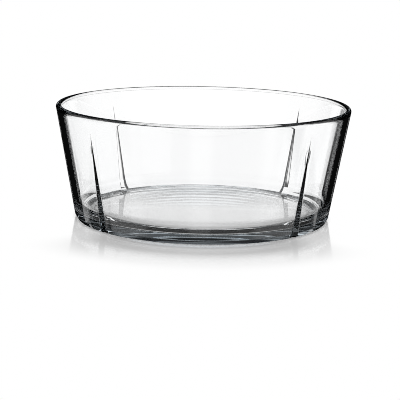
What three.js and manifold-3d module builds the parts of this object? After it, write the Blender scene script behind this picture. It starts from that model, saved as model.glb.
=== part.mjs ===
// Glass serving bowl: one pressed piece of clear glass with a flared wall, a heavy base and four
// tapered V cuts that run down the outside of the wall, round the heel and out through the foot.
// Millimetres, +Z up. The origin is the middle of the plane that the bowl stands on.
import * as THREE from "three";
import { mergeVertices } from "three/addons/utils/BufferGeometryUtils.js";
import Module from "manifold-3d";

const { degToRad } = THREE.MathUtils;

// Outside of the bowl.
const RIM_DIAMETER = 250; // over the widest part of the round rim
const HEIGHT = 97; // standing plane to the top of the rim
const WALL_LEAN = degToRad(9.9); // outwards from upright
const HEEL_HEIGHT = 3.8; // level where the wall turns in towards the foot
const HEEL_SETBACK = 2.1; // how far the foot's edge stands in from the wall's lower end
const HEEL_RADIUS = 2; // rounding between wall and heel
const FOOT_RADIUS = 1; // rounding between heel and foot

// Inside of the bowl.
const RIM_THICKNESS = 4.8; // the rim is a full round of this diameter
const WALL_AT_FLOOR = 5.4; // level thickness of the wall where it reaches the floor
const FLOOR_HEIGHT = 6.9; // standing plane to the floor inside
const FLOOR_FILLET = 14; // rounding between floor and wall

// Underside: a ring to stand on around a shallow recess with a flat cone for a ceiling.
const FOOT_RING_WIDTH = 11;
const RECESS_DEPTH = 1.2; // beside the ring
const RECESS_RADIUS = 0.6; // rounding of the ring's inner edge and of the recess's corner
const CONE_RISE = 1.5; // how much deeper the recess is in the middle
const CONE_ROUND = 20; // how widely the cone's point is rounded

// V cuts.
const CUT_COUNT = 4;
const CUT_FIRST = degToRad(45); // from +X
const CUT_START = 15; // top of the rim down to the point where a cut begins
const CUT_DEPTH = 3.1; // at the heel, square to the surface
const CUT_ANGLE = degToRad(100); // between the two faces of a cut
const CUT_OVERRUN = 8; // how far a cutter runs on past the glass

// Fineness of the faceted solid.
const TURN_STEPS = 96;
const ARC_STEP = degToRad(15);
const CONE_STEPS = 12;

const wasm = await Module();
wasm.setup();

// Points of the profile: x is the radius and y the height.
const at = (radius, height) => new THREE.Vector2(radius, height);
const rimCentre = at((RIM_DIAMETER - RIM_THICKNESS) / 2, HEIGHT - RIM_THICKNESS / 2);
const outerTop = at(Math.cos(-WALL_LEAN), Math.sin(-WALL_LEAN))
  .multiplyScalar(RIM_THICKNESS / 2)
  .add(rimCentre);
const wallPoint = (height) => at(outerTop.x - (outerTop.y - height) * Math.tan(WALL_LEAN), height);
const heel = wallPoint(HEEL_HEIGHT);
const foot = at(heel.x - HEEL_SETBACK, 0);
const ringEdge = at(foot.x - FOOT_RING_WIDTH, 0);
const recessCorner = at(ringEdge.x - RECESS_DEPTH, RECESS_DEPTH);
const floorCorner = at(wallPoint(FLOOR_HEIGHT).x - WALL_AT_FLOOR, FLOOR_HEIGHT);

// Points along an arc of the profile, from one angle to another.
function arc(centre, radius, from, to) {
  const steps = Math.ceil(Math.abs(to - from) / ARC_STEP);
  const curve = new THREE.EllipseCurve(centre.x, centre.y, radius, radius, from, to, to < from);
  return curve.getPoints(steps);
}

// Points that round one corner of the profile, along an arc that touches both of its sides.
function roundCorner(before, corner, after, radius) {
  const toBefore = before.clone().sub(corner).normalize();
  const toAfter = after.clone().sub(corner).normalize();
  const half = Math.acos(toBefore.dot(toAfter)) / 2;
  const middle = toBefore.clone().add(toAfter);
  const centre = middle.clone().setLength(radius / Math.sin(half)).add(corner);
  const sweep = (Math.PI / 2 - half) * Math.sign(toAfter.cross(toBefore));
  const facing = middle.negate().angle();
  return arc(centre, radius, facing - sweep, facing + sweep);
}

// Points of the recess's ceiling from the axis out: a flat cone with a widely rounded point.
function coneCeiling() {
  const reach = (radius) => Math.hypot(radius, CONE_ROUND) - CONE_ROUND;
  const points = [];
  for (let i = 0; i < CONE_STEPS; i += 1) {
    const radius = (recessCorner.x * i) / CONE_STEPS;
    const rise = CONE_RISE * (1 - reach(radius) / reach(recessCorner.x));
    points.push(at(radius, RECESS_DEPTH + rise));
  }
  return points;
}

// Half of the bowl's section: underside, foot, heel, wall, rim, inner wall and floor.
function bowlProfile() {
  const ceiling = coneCeiling();
  const floorMiddle = at(0, FLOOR_HEIGHT);
  const rimRadius = RIM_THICKNESS / 2;
  const toRim = rimCentre.clone().sub(floorCorner);
  const innerSlope = toRim.angle() + Math.asin(rimRadius / toRim.length());
  const rimEnd = innerSlope + Math.PI / 2;
  const rim = [
    ...arc(rimCentre, rimRadius, -WALL_LEAN, 0),
    ...arc(rimCentre, rimRadius, 0, Math.PI / 2).slice(1),
    ...arc(rimCentre, rimRadius, Math.PI / 2, rimEnd).slice(1),
  ];
  return [
    ...ceiling,
    ...roundCorner(ceiling.at(-1), recessCorner, ringEdge, RECESS_RADIUS),
    ...roundCorner(recessCorner, ringEdge, foot, RECESS_RADIUS),
    ...roundCorner(ringEdge, foot, heel, FOOT_RADIUS),
    ...roundCorner(foot, heel, outerTop, HEEL_RADIUS),
    ...rim,
    ...roundCorner(rim.at(-1), floorCorner, floorMiddle, FLOOR_FILLET),
    floorMiddle,
  ];
}

// A cutter of V section along the straight ridge from low to high, two points of the profile's plane.
// It opens away from the axis and runs on past both ends.
function ridgeCutter(low, high) {
  const along = high.clone().sub(low);
  const length = along.length() + 2 * CUT_OVERRUN;
  along.normalize();
  const start = low.clone().addScaledVector(along, -CUT_OVERRUN);
  const mouth = CUT_DEPTH + CUT_OVERRUN;
  const halfMouth = mouth * Math.tan(CUT_ANGLE / 2);
  const section = new THREE.Shape([at(0, 0), at(halfMouth, mouth), at(-halfMouth, mouth)]);
  const across = new THREE.Vector3(0, -1, 0);
  const outwards = new THREE.Vector3(along.y, 0, -along.x);
  const up = new THREE.Vector3(along.x, 0, along.y);
  const place = new THREE.Matrix4().makeBasis(across, outwards, up).setPosition(start.x, 0, start.y);
  return new THREE.ExtrudeGeometry(section, { depth: length, bevelEnabled: false }).applyMatrix4(place);
}

// The two stretches of one cut, along +X: down the wall from a point, and round the heel at full depth.
function cutCutters() {
  const tip = wallPoint(HEIGHT - CUT_START);
  const upWall = outerTop.clone().sub(heel).normalize();
  const downHeel = foot.clone().sub(heel).normalize();
  const halfTurn = Math.acos(upWall.dot(downHeel)) / 2;
  const inwards = upWall.clone().add(downHeel);
  const bend = inwards.setLength(CUT_DEPTH / Math.sin(halfTurn)).add(heel);
  const run = bend.clone().addScaledVector(downHeel, HEEL_HEIGHT);
  return [ridgeCutter(bend, tip), ridgeCutter(run, bend)];
}

function solidOf(geometry) {
  geometry.deleteAttribute("normal");
  geometry.deleteAttribute("uv");
  const merged = mergeVertices(geometry);
  const mesh = new wasm.Mesh({
    numProp: 3,
    vertProperties: new Float32Array(merged.attributes.position.array),
    triVerts: new Uint32Array(merged.index.array),
  });
  return new wasm.Manifold(mesh);
}

function geometryOf(solid) {
  const mesh = solid.getMesh();
  const geometry = new THREE.BufferGeometry();
  geometry.setAttribute("position", new THREE.BufferAttribute(mesh.vertProperties, mesh.numProp));
  geometry.setIndex(new THREE.BufferAttribute(mesh.triVerts, 1));
  geometry.computeVertexNormals();
  return geometry;
}

function glassBowl() {
  const turned = new THREE.LatheGeometry(bowlProfile(), TURN_STEPS).rotateX(Math.PI / 2);
  let bowl = solidOf(turned);
  for (let i = 0; i < CUT_COUNT; i += 1) {
    const turn = CUT_FIRST + (i * 2 * Math.PI) / CUT_COUNT;
    for (const cutter of cutCutters()) {
      bowl = bowl.subtract(solidOf(cutter.rotateZ(turn)));
    }
  }
  const clearGlass = new THREE.MeshStandardMaterial({
    color: 0xe4ebec,
    roughness: 0.03,
    metalness: 0,
    transparent: true,
    opacity: 0.4,
  });
  const mesh = new THREE.Mesh(geometryOf(bowl), clearGlass);
  mesh.name = "glass_bowl";
  return mesh;
}

const bowl = new THREE.Group();
bowl.add(glassBowl());
export default bowl;
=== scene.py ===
"""Glass serving bowl: the fine surface and the looks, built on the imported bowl. Metres, +Z up."""
import math

import bpy
import numpy as np
from mathutils import Matrix, Vector


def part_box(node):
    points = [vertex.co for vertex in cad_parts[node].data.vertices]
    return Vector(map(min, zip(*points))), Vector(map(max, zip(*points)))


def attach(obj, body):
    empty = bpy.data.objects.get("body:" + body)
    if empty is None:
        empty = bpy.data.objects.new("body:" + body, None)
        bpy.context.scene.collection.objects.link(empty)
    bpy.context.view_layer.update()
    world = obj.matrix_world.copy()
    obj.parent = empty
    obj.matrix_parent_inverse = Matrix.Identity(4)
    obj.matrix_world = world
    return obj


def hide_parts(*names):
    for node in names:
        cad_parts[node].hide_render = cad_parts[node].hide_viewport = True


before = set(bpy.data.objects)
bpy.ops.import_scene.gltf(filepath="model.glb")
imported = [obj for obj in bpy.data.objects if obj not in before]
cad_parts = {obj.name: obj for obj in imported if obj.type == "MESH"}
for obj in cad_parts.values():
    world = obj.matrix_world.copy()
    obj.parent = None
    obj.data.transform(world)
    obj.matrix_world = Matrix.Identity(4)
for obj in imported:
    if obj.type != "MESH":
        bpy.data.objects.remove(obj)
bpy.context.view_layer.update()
BOWL_LOW, BOWL_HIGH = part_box("glass_bowl")
MM = 0.001

# Sizes of the bowl. The rim and the height come from the frame.
RIM_RADIUS = BOWL_HIGH.x
HEIGHT = BOWL_HIGH.z
WALL_LEAN = math.radians(9.9)
HEEL_HEIGHT = 3.8 * MM
HEEL_SETBACK = 2.1 * MM
HEEL_RADIUS = 2.0 * MM
FOOT_RADIUS = 1.0 * MM
RIM_THICKNESS = 4.8 * MM
WALL_AT_FLOOR = 5.4 * MM
FLOOR_HEIGHT = 6.9 * MM
FLOOR_FILLET = 14.0 * MM
FOOT_RING_WIDTH = 11.0 * MM
RECESS_DEPTH = 1.2 * MM
RECESS_RADIUS = 0.6 * MM
CONE_RISE = 1.5 * MM
CONE_ROUND = 20.0 * MM
CUT_COUNT = 4
CUT_FIRST = math.radians(45)
CUT_START = 15.0 * MM
CUT_DEPTH = 3.1 * MM
CUT_HALF_ANGLE = math.radians(50)
CUT_SOFTNESS = 0.15 * MM  # rounding of the cuts' edges
GROOVE_PLACE = 0.6 * MM  # fine line round the inside, below the end of the rim's rounding
GROOVE_WIDTH = 0.7 * MM
GROOVE_DEPTH = 0.12 * MM

# Fineness of the surface.
ARC_STEP = math.radians(6)
WALL_ROWS = 44
FLAT_ROWS = 10
CONE_ROWS = 40
GROOVE_ROWS = 12
PLAIN_COLUMNS = 52
LEAST_CUT_WIDTH = 0.5 * MM
CUT_COLUMNS = (0.05, 0.12, 0.3, 0.5, 0.7, 0.86, 0.94, 1.0, 1.06, 1.14, 1.35)

# The photograph's camera.
CAMERA_DISTANCE = 1.100
CAMERA_HEIGHT = 0.2469
CAMERA_AZIMUTH = math.radians(1.38)
CAMERA_PITCH = 0.2092
CAMERA_YAW = -0.0014
CAMERA_ROLL = 0.0198
FOCAL_PIXELS = 1302.5
IMAGE_PIXELS = 400
SENSOR_MM = 36.0
CLIP_START = 0.01
CLIP_END = 100.0

# Clear glass.
GLASS_IOR = 1.5
TINT_COLOUR = (0.80, 0.85, 0.885, 1)
TINT_DENSITY = 10.0
RIPPLE_SCALE = 22.0
RIPPLE_DETAIL = 2.0
RIPPLE_HEIGHT = 0.05 * MM
RIPPLE_STRENGTH = 0.25
GLASS_BOUNCES = 24
CLEAR_BOUNCES = 16
PIXEL_FILTER = 0.9

# A ramp is given as (low, high, start, end): from low to high it goes from start to end.
# The room that the glass sees is given in degrees: azimuths turned from +Y to +X, elevations from the horizon.
# It is white below the horizon and dark above it. Light that bounces only a few times in the glass is short,
# and the rest is long.
DARK = 0.003
WHITE = 1.04  # makes up for what the walls mirror away
DIM_TABLE = (-62.0, -44.0)
BEHIND_VIEWER = (100.0, 115.0, 0.0, 1.0)
WALL_TOP = (12.0, 14.5, 1.0, 0.05)
SHORT_HORIZON = (-1.0, 1.0, 1.0, 0.1)
SHORT_GLOW = (3.0, 5.0, 0.0, 0.1)
SHORT_TOP = (10.0, 13.0, 1.0, 0.05)
SHORT_LAMP = (20.0, 26.0, 0.0, 0.3)
FIVE_HORIZON = (5.0, 7.0, 1.0, 0.1)
LONG_DUSK = (-3.0, -1.0, 1.0, 0.2)
LONG_HORIZON = (0.0, 2.0, 1.0, 0.5)
LONG_GLOW = (10.0, 12.0, 0.0, 0.35)
LONG_TOP = (11.0, 13.5, 1.0, 0.05)
LONG_LAMP = (20.0, 26.0, 0.0, 0.24)
LONG_CEILING = (58.0, 66.0, 0.0, 0.95)
LAST_BACK_WALL = (26.0, 30.0, 0.0, 0.95)
LAST_REACH = 30.0
DEEP_LOSS = 0.5
ABOVE_TABLE = (-7.5, -5.5, 0.0, 1.0)

# The numbers of bounces at which light changes.
LONG_BOUNCES = 5  # long light begins
BACKDROP_BOUNCES = 6  # it needs a backdrop
STRAY_BOUNCES = 7  # odd numbers of bounces no longer meet the table
SLIT_BOUNCES = 9  # it needs the middle of a backdrop
LAMP_BOUNCES = 10  # it no longer meets the lamp
DEEP_BOUNCES = 13  # it is weaker
LAST_BOUNCES = 15  # it meets the top of the back wall

# White backdrops that long light leaves to: the middle of each and how far it reaches to both sides.
BACKDROPS = ((0.0, 25.0), (-45.0, 15.0), (-90.0, 15.0), (135.0, 15.0))
BACKDROP_MIDDLE = 12.0
BACKDROP_ON_TABLE = 9.0
BACKDROP_SLIT = 4.0

# Dark cards round the bowl: the two sides, the lower and the upper edge.
CARDS = (
    (45.0, 71.0, -9.5, 3.0),
    (109.0, 161.0, -9.5, 3.0),
    (-71.0, -44.0, -9.5, 3.0),
    (-161.0, -109.0, -9.5, 3.0),
    (90.5, 116.0, -25.0, -9.0),
    (154.0, 179.5, -25.0, -9.0),
    (-89.5, -64.0, -38.0, -26.0),
    (-24.5, -10.0, -38.0, -26.0),
)
# Cards at the bowl's two sides, which only light with so many bounces meets.
SIDE_CARDS = (
    (1, -48.0, -12.0, -30.0, 3.5),
    (1, 6.0, 51.0, -30.0, 3.5),
    (2, 9.5, 30.0, -20.0, 3.5),
    (3, -43.2, -12.0, -30.0, -6.5),
    (3, 9.0, 53.0, -30.0, -6.5),
    (4, -27.0, -20.7, -22.0, 3.5),
    (4, 13.8, 26.5, -30.0, 3.5),
)
CARD_BLUR = 1.0

# What mirrors in the glass differs: white bands at the sides, dark behind, and a dim table in places.
MIRROR_ASIDE = (48.0, 70.0, 0.0, 1.0)
MIRROR_BAND = (0.0, 28.0)
MIRROR_DARK = (-3.0, -1.0, 0.0, 1.0)
MIRROR_FRONT_SIDES = ((122.0, 134.0, 0.0, 1.0), (167.0, 175.0, 1.0, 0.0))
MIRROR_FRONT_EDGES = ((-40.0, -34.0, 0.0, 1.0), (-26.0, -20.0, 0.85, 0.0))
MIRROR_HEEL_SIDES = (40.0, 78.0)
MIRROR_HEEL_EDGES = (-42.0, -21.5)
MIRROR_TABLE = (-35.0, -32.5, 0.1, 1.0)

# The table, by the distance from its middle: polish, a painted shadow in front of the bowl, and what the glass
# sees under the bowl, with a painted shadow near the foot.
POLISH = (0.10, 0.185, 0.45, 0.0)
POLISH_ROUGHNESS = 0.1
WHITE_FROM = (0.107, 0.112, 0.0, 1.0)
PAINTED_SHADOW = (0.112, 0.192, 0.33, 0.0)
PAINTED_SHADOW_FACING = (-0.86, -0.6, 1.0, 0.0)
UNDER_EDGE = (0.1060, 0.1068, 0.0, 1.0)
UNDER_FRONT = (0.0, 0.04, 1.0, 0.0)
UNDER_PAINTED_SHADOW = ((0.060, 0.089, 1.0, 0.55), (0.0895, 0.0945, 1.0, 0.04))
UNDER_LONG_LIGHT = (6.0, 7.0, 1.0, 0.3)
TABLE_REACH = 6.0
TABLE_GAP = 0.05 * MM


def point(radius, height):
    return Vector((radius, height))


def arc(centre, radius, start, end):
    """Points on an arc of the profile from one angle to another."""
    steps = max(2, math.ceil(abs(end - start) / ARC_STEP))
    angles = [start + (end - start) * i / steps for i in range(steps + 1)]
    return [centre + radius * point(math.cos(a), math.sin(a)) for a in angles]


def round_corner(before, corner, after, radius):
    """Points on the arc that rounds a corner and touches both of its sides."""
    to_before = (before - corner).normalized()
    to_after = (after - corner).normalized()
    half = to_before.angle(to_after) / 2
    middle = (to_before + to_after).normalized()
    centre = corner + middle * radius / math.sin(half)
    turn = math.copysign(math.pi / 2 - half, to_after.cross(to_before))
    facing = math.atan2(-middle.y, -middle.x)
    return arc(centre, radius, facing - turn, facing + turn)


def straight(start, end, rows):
    """Points between two ends, both left out."""
    return [start.lerp(end, i / rows) for i in range(1, rows)]


# Corners of the profile: radius and height.
RIM_CENTRE = point(RIM_RADIUS - RIM_THICKNESS / 2, HEIGHT - RIM_THICKNESS / 2)
OUTER_TOP = RIM_CENTRE + RIM_THICKNESS / 2 * point(math.cos(WALL_LEAN), -math.sin(WALL_LEAN))


def wall_point(height):
    return point(OUTER_TOP.x - (OUTER_TOP.y - height) * math.tan(WALL_LEAN), height)


HEEL = wall_point(HEEL_HEIGHT)
FOOT = point(HEEL.x - HEEL_SETBACK, 0)
RING_EDGE = point(FOOT.x - FOOT_RING_WIDTH, 0)
RECESS_CORNER = point(RING_EDGE.x - RECESS_DEPTH, RECESS_DEPTH)
FLOOR_CORNER = point(wall_point(FLOOR_HEIGHT).x - WALL_AT_FLOOR, FLOOR_HEIGHT)
CUT_TIP = wall_point(HEIGHT - CUT_START)
UP_WALL = (OUTER_TOP - HEEL).normalized()
DOWN_HEEL = (FOOT - HEEL).normalized()
CUT_BEND = HEEL + (UP_WALL + DOWN_HEEL).normalized() * CUT_DEPTH / math.sin(UP_WALL.angle(DOWN_HEEL) / 2)


def ridge_radius(height):
    """Radius of a cut's deepest line at a height: straight down the wall, then parallel to the heel."""
    along = CUT_TIP - CUT_BEND if height > CUT_BEND.y else DOWN_HEEL
    return CUT_BEND.x + (height - CUT_BEND.y) * along.x / along.y


def cone_ceiling():
    """Points of the recess's ceiling from near the axis out: a flat cone with a widely rounded point."""
    def reach(radius):
        return math.hypot(radius, CONE_ROUND) - CONE_ROUND

    radii = [RECESS_CORNER.x * i / CONE_ROWS for i in range(1, CONE_ROWS)]
    return [point(r, RECESS_DEPTH + CONE_RISE * (1 - reach(r) / reach(RECESS_CORNER.x))) for r in radii]


def rim_groove(start, end):
    """Points of the fine line under the rim, on the way from start to end down the inside."""
    down = (end - start).normalized()
    into_glass = point(-down.y, down.x)
    points = []
    for i in range(GROOVE_ROWS + 1):
        across = 2 * i / GROOVE_ROWS - 1
        depth = GROOVE_DEPTH * math.cos(across * math.pi / 2) ** 2
        points.append(start + down * (GROOVE_PLACE + across * GROOVE_WIDTH / 2) + into_glass * depth)
    return points


def bowl_rows():
    """The profile in three runs: underside, outside (which the cuts cross) and inside."""
    cone = cone_ceiling()
    floor_middle = point(0, FLOOR_HEIGHT)
    to_rim = RIM_CENTRE - FLOOR_CORNER
    rim_end = math.atan2(to_rim.y, to_rim.x) + math.asin(RIM_THICKNESS / 2 / to_rim.length) + math.pi / 2
    rim = arc(RIM_CENTRE, RIM_THICKNESS / 2, -WALL_LEAN, 0)
    rim += arc(RIM_CENTRE, RIM_THICKNESS / 2, 0, math.pi / 2)[1:]
    rim += arc(RIM_CENTRE, RIM_THICKNESS / 2, math.pi / 2, rim_end)[1:]
    foot = round_corner(RING_EDGE, FOOT, HEEL, FOOT_RADIUS)
    heel = round_corner(FOOT, HEEL, OUTER_TOP, HEEL_RADIUS)
    ring = round_corner(RECESS_CORNER, RING_EDGE, FOOT, RECESS_RADIUS)
    recess = round_corner(cone[-1], RECESS_CORNER, RING_EDGE, RECESS_RADIUS)
    fillet = round_corner(rim[-1], FLOOR_CORNER, floor_middle, FLOOR_FILLET)
    underside = cone + recess + ring + straight(ring[-1], foot[0], FLAT_ROWS)
    outside = foot + straight(foot[-1], heel[0], FLAT_ROWS) + heel + straight(heel[-1], rim[0], WALL_ROWS)
    groove = rim_groove(rim[-1], fillet[0])
    inside = rim + groove + straight(groove[-1], fillet[0], WALL_ROWS) + fillet
    inside += straight(fillet[-1], floor_middle, FLAT_ROWS)
    return underside, outside, inside


def cut_depth(depth, across):
    """How far the surface steps in, across metres from the middle of a cut that is depth deep there."""
    rounded = np.sqrt(across**2 + CUT_SOFTNESS**2) - CUT_SOFTNESS
    inside = depth * math.tan(CUT_HALF_ANGLE) - rounded
    return (inside + np.sqrt(inside**2 + CUT_SOFTNESS**2)) / 2 / math.tan(CUT_HALF_ANGLE)


def bowl_vertices():
    """Rows of points round the bowl. Some of the columns follow the edges and the ridge of each cut."""
    underside, outside, inside = bowl_rows()
    fractions = np.array([-f for f in reversed(CUT_COLUMNS)] + [0.0] + list(CUT_COLUMNS))
    share = np.arange(1, PLAIN_COLUMNS) / PLAIN_COLUMNS
    sector = 2 * math.pi / CUT_COUNT
    foot_depth = outside[0].x - ridge_radius(0)
    rows = []

    def add_row(radius, height, half_width, shift_of):
        """One row: half_width is that of a cut there, and shift_of gives the step in for places across it."""
        across = fractions * half_width
        edge = across[-1] / radius
        angles = np.concatenate([across / radius, edge + share * (sector - 2 * edge)])
        shift = np.concatenate([shift_of(across), np.zeros(len(share))])
        for i in range(CUT_COUNT):
            turned = angles + CUT_FIRST + i * sector
            reach = radius - shift
            height_column = np.full_like(reach, height)
            rows.append(np.stack([reach * np.cos(turned), reach * np.sin(turned), height_column], 1))

    foot_width = foot_depth * math.tan(CUT_HALF_ANGLE)
    for p in underside:
        fade = max(0.0, (p.x - RING_EDGE.x) / (outside[0].x - RING_EDGE.x)) if p.y <= 0 else 0.0
        width = foot_width * p.x / outside[0].x
        add_row(p.x, p.y, width, lambda across: fade * cut_depth(foot_depth, across))
    for p in outside:
        depth = p.x - ridge_radius(p.y)
        width = max(depth * math.tan(CUT_HALF_ANGLE), LEAST_CUT_WIDTH)
        add_row(p.x, p.y, width, lambda across: cut_depth(depth, across))
    for p in inside:
        width = LEAST_CUT_WIDTH * p.x / RIM_RADIUS
        add_row(p.x, p.y, width, lambda across: np.zeros_like(across))
    columns = CUT_COUNT * (len(fractions) + len(share))
    return np.concatenate(rows).reshape(-1, columns, 3)


def make_bowl():
    """The bowl as one closed mesh: a grid of rows and columns with a point at each end of the axis."""
    grid = bowl_vertices()
    rows, columns, _ = grid.shape
    index = np.arange(rows * columns).reshape(rows, columns)
    after = np.roll(index, -1, axis=1)
    quads = np.stack([index[:-1], after[:-1], after[1:], index[1:]], -1).reshape(-1, 4).tolist()
    under, over = rows * columns, rows * columns + 1
    fans = [(under, b, a) for a, b in zip(index[0].tolist(), after[0].tolist())]
    fans += [(over, a, b) for a, b in zip(index[-1].tolist(), after[-1].tolist())]
    points = grid.reshape(-1, 3).tolist() + [(0, 0, RECESS_DEPTH + CONE_RISE), (0, 0, FLOOR_HEIGHT)]
    mesh = bpy.data.meshes.new("bowl_surface")
    mesh.from_pydata(points, [], quads + fans)
    mesh.polygons.foreach_set("use_smooth", [True] * len(mesh.polygons))
    mesh.validate()
    mesh.update()
    bowl = bpy.data.objects.new("bowl_surface", mesh)
    bpy.context.scene.collection.objects.link(bowl)
    return bowl


def new_material(name):
    """An empty node material: its tree and its output node."""
    material = bpy.data.materials.new(name)
    material.use_nodes = True
    tree = material.node_tree
    tree.nodes.clear()
    return material, tree, tree.nodes.new("ShaderNodeOutputMaterial")


def glass_material():
    """Clear pressed glass: faint ripples from the mould and a cool tint where the glass is thick."""
    material, tree, output = new_material("clear_glass")
    glass = tree.nodes.new("ShaderNodeBsdfPrincipled")
    glass.inputs["Base Color"].default_value = (1, 1, 1, 1)
    glass.inputs["Roughness"].default_value = 0.0
    glass.inputs["IOR"].default_value = GLASS_IOR
    glass.inputs["Transmission Weight"].default_value = 1.0
    tint = tree.nodes.new("ShaderNodeVolumeAbsorption")
    tint.inputs["Color"].default_value = TINT_COLOUR
    tint.inputs["Density"].default_value = TINT_DENSITY
    place = tree.nodes.new("ShaderNodeTexCoord")
    ripple = tree.nodes.new("ShaderNodeTexNoise")
    ripple.inputs["Scale"].default_value = RIPPLE_SCALE
    ripple.inputs["Detail"].default_value = RIPPLE_DETAIL
    bump = tree.nodes.new("ShaderNodeBump")
    bump.inputs["Strength"].default_value = RIPPLE_STRENGTH
    bump.inputs["Distance"].default_value = RIPPLE_HEIGHT
    tree.links.new(place.outputs["Object"], ripple.inputs["Vector"])
    tree.links.new(ripple.outputs["Fac"], bump.inputs["Height"])
    tree.links.new(bump.outputs["Normal"], glass.inputs["Normal"])
    tree.links.new(glass.outputs["BSDF"], output.inputs["Surface"])
    tree.links.new(tint.outputs["Volume"], output.inputs["Volume"])
    return material


def math_node(tree, operation, *values):
    """A math node whose inputs are numbers or sockets."""
    node = tree.nodes.new("ShaderNodeMath")
    node.operation = operation
    for socket, value in zip(node.inputs, values):
        if isinstance(value, bpy.types.NodeSocket):
            tree.links.new(value, socket)
        else:
            socket.default_value = value
    return node.outputs[0]


def ramp(tree, value, low, high, start, end):
    """value from low to high becomes start to end, smoothly, and stays there outside."""
    node = tree.nodes.new("ShaderNodeMapRange")
    node.interpolation_type = "SMOOTHSTEP"
    tree.links.new(value, node.inputs["Value"])
    for name, number in zip(("From Min", "From Max", "To Min", "To Max"), (low, high, start, end)):
        node.inputs[name].default_value = number
    return node.outputs["Result"]


def mix_node(tree, factor, first, second):
    """first where factor is 0 and second where it is 1: numbers or sockets."""
    node = tree.nodes.new("ShaderNodeMix")
    for name, value in (("Factor", factor), ("A", first), ("B", second)):
        if isinstance(value, bpy.types.NodeSocket):
            tree.links.new(value, node.inputs[name])
        else:
            node.inputs[name].default_value = value
    return node.outputs["Result"]


def within(tree, value, low, high):
    """1 where value lies between low and high, and 0 outside, with a short blur."""
    rise = ramp(tree, value, low - CARD_BLUR / 2, low + CARD_BLUR / 2, 0.0, 1.0)
    fall = ramp(tree, value, high - CARD_BLUR / 2, high + CARD_BLUR / 2, 1.0, 0.0)
    return math_node(tree, "MULTIPLY", rise, fall)


def product(tree, *values):
    """All the values multiplied."""
    result = values[0]
    for value in values[1:]:
        result = math_node(tree, "MULTIPLY", result, value)
    return result


def without(tree, light, shade):
    """light where shade is 0 and nothing where it is 1."""
    return math_node(tree, "MULTIPLY", light, math_node(tree, "SUBTRACT", 1.0, shade))


def bounced(tree, depth, count):
    """1 for light that has bounced at least so many times. A ray's depth is one more than its bounces."""
    return math_node(tree, "GREATER_THAN", depth, count + 0.5)


def card(tree, azimuth, elevation, left, right, low, top):
    """1 where a card stands."""
    return product(tree, within(tree, azimuth, left, right), within(tree, elevation, low, top))


def short_light(tree, azimuth, elevation, depth, behind):
    """What short light shows: white below the horizon, dim above it and dark where a card stands."""
    light = math_node(tree, "ADD", ramp(tree, elevation, *SHORT_HORIZON), ramp(tree, elevation, *SHORT_GLOW))
    light = product(tree, light, ramp(tree, elevation, *SHORT_TOP))
    light = math_node(tree, "MAXIMUM", light, behind)
    light = math_node(tree, "ADD", light, ramp(tree, elevation, *SHORT_LAMP))
    light = without(tree, light, within(tree, elevation, *DIM_TABLE))
    for edges in CARDS:
        light = without(tree, light, card(tree, azimuth, elevation, *edges))
    for bounces, *edges in SIDE_CARDS:
        met = math_node(tree, "COMPARE", depth, bounces + 1.0, 0.5)
        light = without(tree, light, product(tree, card(tree, azimuth, elevation, *edges), met))
    return light


def backdrop_windows(tree, azimuth, elevation, depth):
    """1 where long light leaves to a backdrop. The windows narrow as it bounces on."""
    above = ramp(tree, elevation, *ABOVE_TABLE)
    windows = without(tree, above, bounced(tree, depth, BACKDROP_BOUNCES))
    for middle, reach in BACKDROPS:
        wall = product(tree, within(tree, azimuth, middle - reach, middle + reach), above)
        table = within(tree, azimuth, middle - BACKDROP_ON_TABLE, middle + BACKDROP_ON_TABLE)
        slit = within(tree, azimuth, middle - BACKDROP_SLIT, middle + BACKDROP_SLIT)
        wide = math_node(tree, "MAXIMUM", wall, table)
        window = mix_node(tree, bounced(tree, depth, SLIT_BOUNCES), wide, slit)
        windows = math_node(tree, "MAXIMUM", windows, window)
    odd = math_node(tree, "LESS_THAN", math_node(tree, "MODULO", depth, 2.0), 0.5)
    stray = without(tree, product(tree, odd, bounced(tree, depth, STRAY_BOUNCES)), above)
    return without(tree, windows, stray)


def long_light(tree, azimuth, elevation, depth, behind):
    """What long light shows: backdrops that end above the horizon, a lamp and a ceiling."""
    five = ramp(tree, elevation, *FIVE_HORIZON)
    for middle, _ in BACKDROPS:
        wall = within(tree, azimuth, middle - BACKDROP_MIDDLE, middle + BACKDROP_MIDDLE)
        five = math_node(tree, "MAXIMUM", five, wall)
    five = product(tree, five, ramp(tree, elevation, *WALL_TOP))
    more = product(tree, ramp(tree, elevation, *LONG_DUSK), ramp(tree, elevation, *LONG_HORIZON))
    more = math_node(tree, "ADD", more, ramp(tree, elevation, *LONG_GLOW))
    more = product(tree, more, ramp(tree, elevation, *LONG_TOP))
    light = mix_node(tree, bounced(tree, depth, BACKDROP_BOUNCES), five, more)
    light = math_node(tree, "MAXIMUM", light, behind)
    lamp = without(tree, ramp(tree, elevation, *LONG_LAMP), bounced(tree, depth, LAMP_BOUNCES))
    light = math_node(tree, "ADD", light, lamp)
    light = without(tree, light, within(tree, elevation, *DIM_TABLE))
    light = product(tree, light, backdrop_windows(tree, azimuth, elevation, depth))
    light = without(tree, light, product(tree, bounced(tree, depth, DEEP_BOUNCES), DEEP_LOSS))
    last = product(tree, ramp(tree, elevation, *LAST_BACK_WALL), bounced(tree, depth, LAST_BOUNCES))
    last = product(tree, last, within(tree, azimuth, -LAST_REACH, LAST_REACH))
    ceiling = math_node(tree, "MAXIMUM", last, ramp(tree, elevation, *LONG_CEILING))
    return math_node(tree, "ADD", light, ceiling)


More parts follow.
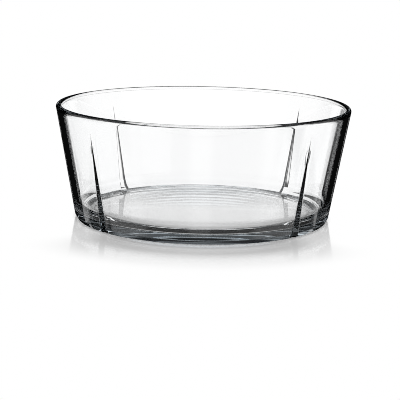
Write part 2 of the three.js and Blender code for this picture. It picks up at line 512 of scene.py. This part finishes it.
def refracted_light(tree, azimuth, elevation, depth):
    """What shows through the glass."""
    turned = math_node(tree, "ABSOLUTE", azimuth)
    behind = product(tree, ramp(tree, turned, *BEHIND_VIEWER), ramp(tree, elevation, *WALL_TOP))
    short = short_light(tree, azimuth, elevation, depth, behind)
    long = long_light(tree, azimuth, elevation, depth, behind)
    light = mix_node(tree, bounced(tree, depth, LONG_BOUNCES), short, long)
    light = math_node(tree, "MINIMUM", light, 1.0)
    return product(tree, math_node(tree, "MAXIMUM", light, DARK), WHITE)


def reflected_light(tree, azimuth, elevation, refracted):
    """What mirrors in the glass: the same room with the differences given above."""
    turned = math_node(tree, "ABSOLUTE", azimuth)
    aside = ramp(tree, turned, *MIRROR_ASIDE)
    sides = [ramp(tree, turned, *edge) for edge in MIRROR_FRONT_SIDES]
    front = product(tree, *sides, *[ramp(tree, elevation, *edge) for edge in MIRROR_FRONT_EDGES])
    light = without(tree, refracted, front)
    light = without(tree, light, without(tree, ramp(tree, elevation, *MIRROR_DARK), aside))
    light = without(tree, light, card(tree, turned, elevation, *MIRROR_HEEL_SIDES, *MIRROR_HEEL_EDGES))
    light = product(tree, light, ramp(tree, elevation, *MIRROR_TABLE))
    return math_node(tree, "MAXIMUM", light, product(tree, within(tree, elevation, *MIRROR_BAND), aside))


def studio_world():
    """White all round for the camera and the table. The glass sees a room of white walls and dark cards."""
    world = bpy.data.worlds.new("studio")
    bpy.context.scene.world = world
    world.use_nodes = True
    tree = world.node_tree
    tree.nodes.clear()
    output = tree.nodes.new("ShaderNodeOutputWorld")
    background = tree.nodes.new("ShaderNodeBackground")
    path = tree.nodes.new("ShaderNodeLightPath")
    place = tree.nodes.new("ShaderNodeTexCoord")
    split = tree.nodes.new("ShaderNodeSeparateXYZ")
    tree.links.new(place.outputs["Generated"], split.inputs[0])
    x, y, z = split.outputs
    azimuth = math_node(tree, "DEGREES", math_node(tree, "ARCTAN2", x, y))
    elevation = math_node(tree, "DEGREES", math_node(tree, "ARCSINE", z))
    refracted = refracted_light(tree, azimuth, elevation, path.outputs["Ray Depth"])
    reflected = reflected_light(tree, azimuth, elevation, refracted)
    in_glass = math_node(tree, "MULTIPLY", path.outputs["Is Glossy Ray"], path.outputs["Is Singular Ray"])
    mirrored = mix_node(tree, in_glass, 1.0, reflected)
    seen = mix_node(tree, path.outputs["Is Transmission Ray"], mirrored, refracted)
    strength = mix_node(tree, path.outputs["Is Camera Ray"], seen, 1.0)
    background.inputs["Color"].default_value = (1, 1, 1, 1)
    tree.links.new(strength, background.inputs["Strength"])
    tree.links.new(background.outputs[0], output.inputs["Surface"])


def mix_shader(tree, factor, first, second):
    """first where factor is 0 and second where it is 1."""
    node = tree.nodes.new("ShaderNodeMixShader")
    tree.links.new(factor, node.inputs["Fac"])
    tree.links.new(first.outputs[0], node.inputs[1])
    tree.links.new(second.outputs[0], node.inputs[2])
    return node


def painted_under_shadow(tree, radius, forward, depth):
    """How bright the glass sees the table under the bowl, with a painted shadow: dark in a ring near the foot,
    towards -Y.
    """
    ring = product(tree, *[ramp(tree, radius, *edge) for edge in UNDER_PAINTED_SHADOW])
    shadow = mix_node(tree, ramp(tree, forward, *UNDER_FRONT), 1.0, ring)
    return product(tree, shadow, ramp(tree, depth, *UNDER_LONG_LIGHT))


def table_material():
    """White and polished, with a painted shadow in front of the bowl. The glass sees it only under the bowl.
    """
    material, tree, output = new_material("white_table")
    matt = tree.nodes.new("ShaderNodeBsdfDiffuse")
    matt.inputs["Color"].default_value = (1, 1, 1, 1)
    white = tree.nodes.new("ShaderNodeEmission")
    under = tree.nodes.new("ShaderNodeEmission")
    clear = tree.nodes.new("ShaderNodeBsdfTransparent")
    gloss = tree.nodes.new("ShaderNodeBsdfGlossy")
    gloss.inputs["Color"].default_value = (1, 1, 1, 1)
    gloss.inputs["Roughness"].default_value = POLISH_ROUGHNESS
    path = tree.nodes.new("ShaderNodeLightPath")
    place = tree.nodes.new("ShaderNodeTexCoord")
    length = tree.nodes.new("ShaderNodeVectorMath")
    length.operation = "LENGTH"
    tree.links.new(place.outputs["Object"], length.inputs[0])
    radius = length.outputs["Value"]
    split = tree.nodes.new("ShaderNodeSeparateXYZ")
    tree.links.new(place.outputs["Object"], split.inputs[0])
    forward = split.outputs["Y"]
    facing = math_node(tree, "DIVIDE", forward, radius)
    # Painted shadow: the white table's glow is dimmed in a crescent in front of the bowl, towards -Y.
    shade = product(tree, ramp(tree, radius, *PAINTED_SHADOW), ramp(tree, facing, *PAINTED_SHADOW_FACING))
    tree.links.new(math_node(tree, "SUBTRACT", 1.0, shade), white.inputs["Strength"])
    # Painted shadow: the table the glass sees under the bowl glows dimmer in a ring near the foot, towards -Y.
    shadow = painted_under_shadow(tree, radius, forward, path.outputs["Ray Depth"])
    tree.links.new(shadow, under.inputs["Strength"])
    lit = mix_shader(tree, ramp(tree, radius, *WHITE_FROM), matt, white)
    polished = mix_shader(tree, ramp(tree, radius, *POLISH), lit, gloss)
    plain = mix_shader(tree, path.outputs["Is Glossy Ray"], polished, clear)
    through = mix_shader(tree, ramp(tree, radius, *UNDER_EDGE), under, clear)
    seen = mix_shader(tree, path.outputs["Is Transmission Ray"], plain, through)
    tree.links.new(seen.outputs[0], output.inputs["Surface"])
    return material


def make_table():
    """A wide plane just below the foot."""
    mesh = bpy.data.meshes.new("table")
    corners = [(-1, -1, 0), (1, -1, 0), (1, 1, 0), (-1, 1, 0)]
    mesh.from_pydata([Vector(corner) * TABLE_REACH for corner in corners], [], [(0, 1, 2, 3)])
    table = bpy.data.objects.new("table", mesh)
    table.location.z = -TABLE_GAP
    bpy.context.scene.collection.objects.link(table)
    mesh.materials.append(table_material())


def make_camera():
    """A pinhole at the photograph's place, turned down, aside and round its own axis as the photograph is."""
    data = bpy.data.cameras.new("camera")
    data.sensor_width = SENSOR_MM
    data.lens = FOCAL_PIXELS * SENSOR_MM / IMAGE_PIXELS
    data.clip_start = CLIP_START
    data.clip_end = CLIP_END
    camera = bpy.data.objects.new("camera", data)
    bpy.context.scene.collection.objects.link(camera)
    bpy.context.scene.camera = camera
    place = Vector((math.sin(CAMERA_AZIMUTH), -math.cos(CAMERA_AZIMUTH), 0)) * CAMERA_DISTANCE
    place.z = CAMERA_HEIGHT
    heading = CAMERA_AZIMUTH - CAMERA_YAW
    level = Vector((-math.sin(heading), math.cos(heading), 0))
    right = Vector((math.cos(heading), math.sin(heading), 0))
    forward = level * math.cos(CAMERA_PITCH) - Vector((0, 0, math.sin(CAMERA_PITCH)))
    up = right.cross(forward)
    turned_right = right * math.cos(CAMERA_ROLL) + up * math.sin(CAMERA_ROLL)
    turned_up = up * math.cos(CAMERA_ROLL) - right * math.sin(CAMERA_ROLL)
    axes = Matrix((turned_right, turned_up, -forward)).transposed().to_4x4()
    camera.matrix_world = Matrix.Translation(place) @ axes


def set_light_paths():
    """Enough bounces for light that runs on inside the base."""
    cycles = bpy.context.scene.cycles
    cycles.max_bounces = GLASS_BOUNCES
    cycles.transmission_bounces = GLASS_BOUNCES
    cycles.glossy_bounces = GLASS_BOUNCES
    cycles.transparent_max_bounces = CLEAR_BOUNCES
    cycles.caustics_refractive = True
    cycles.caustics_reflective = True
    cycles.blur_glossy = 0.0
    cycles.use_denoising = True
    cycles.filter_width = PIXEL_FILTER


make_camera()
studio_world()
make_table()
bowl = make_bowl()
bowl.data.materials.append(glass_material())
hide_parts("glass_bowl")
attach(bowl, "root")
set_light_paths()
bpy.context.scene.view_settings.view_transform = "Standard"
